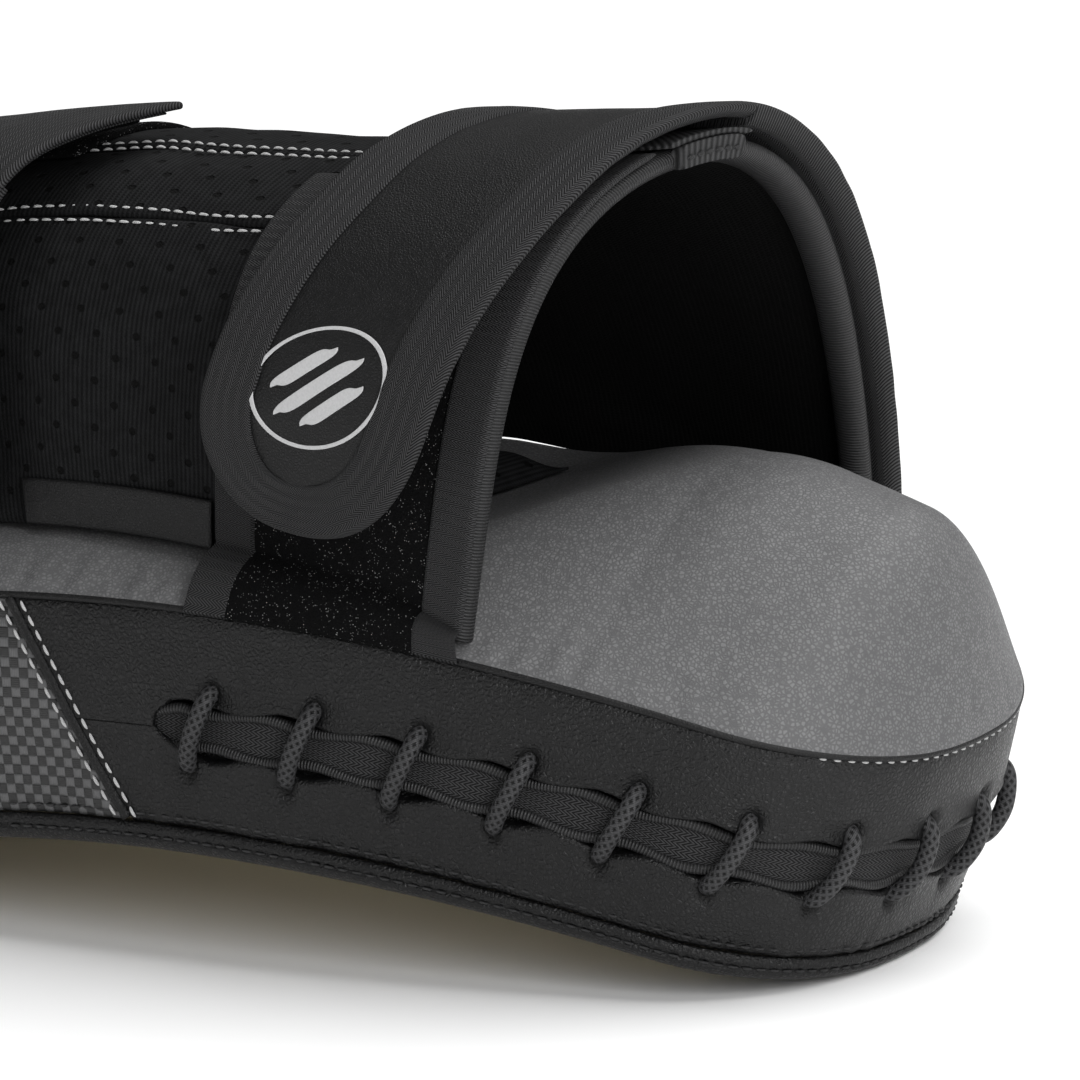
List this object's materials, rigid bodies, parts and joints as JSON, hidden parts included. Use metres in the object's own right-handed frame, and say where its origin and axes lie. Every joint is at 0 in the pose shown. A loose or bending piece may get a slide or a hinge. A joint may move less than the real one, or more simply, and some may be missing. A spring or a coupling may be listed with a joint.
{
  "type": "kick shield",
  "caption": "Curved foam kick shield worn on the forearm: laced leather side wall, padded back with an elbow hump, arm tunnel, two hook-and-loop straps and a hand grip.",
  "frame": {"origin": "on the floor, under the middle of the pad", "axes": "+X towards the elbow end, +Y across the pad towards the sewn side of the elbow strap, +Z away from the striking face"},
  "size_m": [0.42, 0.2121, 0.2408],
  "materials": {
    "core_foam": "closed-cell foam",
    "soft_foam": "open-cell foam",
    "black_leather": "pebbled, semi-gloss",
    "woven_panel": "woven look, satin",
    "piping": "smooth",
    "webbing": "twill",
    "lace_cord": "round braid",
    "grey_leather": "pebbled, satin",
    "rest_fabric": "soft lining",
    "neoprene": "perforated, matte",
    "loop_pile": "fuzzy loop pile",
    "hook_tape": "hook tape",
    "badge": "raised rubber mark",
    "grip_bar": "turned",
    "grip_wrap": "soft wrap",
    "steel": "polished"
  },
  "bodies": {
    "pad": {"core_strike": "core_foam", "core_middle": "soft_foam", "core_back": "core_foam", "core_dome": "soft_foam", "strike_cover": "black_leather", "wall_upper": "black_leather", "wall_lower": "black_leather", "wall_hand": "black_leather", "weave_panel_near": "woven_panel", "weave_panel_far": "woven_panel", "diag_piping_near_elbow": "piping", "diag_piping_far_elbow": "piping", "diag_piping_near_hand": "piping", "diag_piping_far_hand": "piping", "lace_tongue": "piping", "lace_webbing": "webbing", "lace_rib_upper": "piping", "lace_rib_lower": "piping", "side_lace": "lace_cord", "back_cover": "grey_leather", "forearm_rest": "rest_fabric", "sleeve_near": "neoprene", "sleeve_shoulder": "neoprene", "sleeve_far": "neoprene", "sleeve_hem_near": "webbing", "sleeve_hem_far": "webbing", "cuff_binding": "webbing", "keeper_tab": "webbing", "loop_panel_a": "loop_pile", "loop_border_a_elbow": "webbing", "loop_border_a_hand": "webbing", "strap_a_root": "black_leather", "loop_panel_b": "loop_pile", "strap_b_root": "webbing", "grip_core": "grip_bar", "grip_wrap": "grip_wrap", "grip_tab_near": "black_leather", "grip_tab_far": "black_leather", "grip_screw_near": "steel", "grip_screw_far": "steel", "grip_rivet_near_a": "steel", "grip_rivet_near_b": "steel", "grip_rivet_far_a": "steel", "grip_rivet_far_b": "steel"},
    "strap_a_flap": {"strap_a_flap": "black_leather"},
    "strap_a_tip": {"strap_a_tip": "black_leather", "strap_a_hook": "hook_tape", "strap_a_badge": "badge"},
    "strap_b_flap": {"strap_b_flap": "webbing"},
    "strap_b_tip": {"strap_b_tip": "webbing", "strap_b_hook": "hook_tape"}
  },
  "joints": [
    {"name": "strap_a_open", "type": "hinge", "parent": "pad", "child": "strap_a_flap", "pos_m": [0.11026, 0.05149, 0.19222], "axis": [-0.999, -0.0343, 0.0293], "range_deg": [0, 110]},
    {"name": "strap_a_peel", "type": "hinge", "parent": "strap_a_flap", "child": "strap_a_tip", "pos_m": [0.08398, -0.064, 0.22348], "axis": [-0.9933, 0.0711, -0.0906], "range_deg": [0, 80]},
    {"name": "strap_b_open", "type": "hinge", "parent": "pad", "child": "strap_b_flap", "pos_m": [-0.0975, -0.08391, 0.19169], "axis": [0.981, -0.0003, 0.1939], "range_deg": [0, 100]},
    {"name": "strap_b_peel", "type": "hinge", "parent": "strap_b_flap", "child": "strap_b_tip", "pos_m": [-0.08905, -0.05851, 0.21571], "axis": [0.9831, -0.0005, 0.1832], "range_deg": [0, 60]}
  ]
}
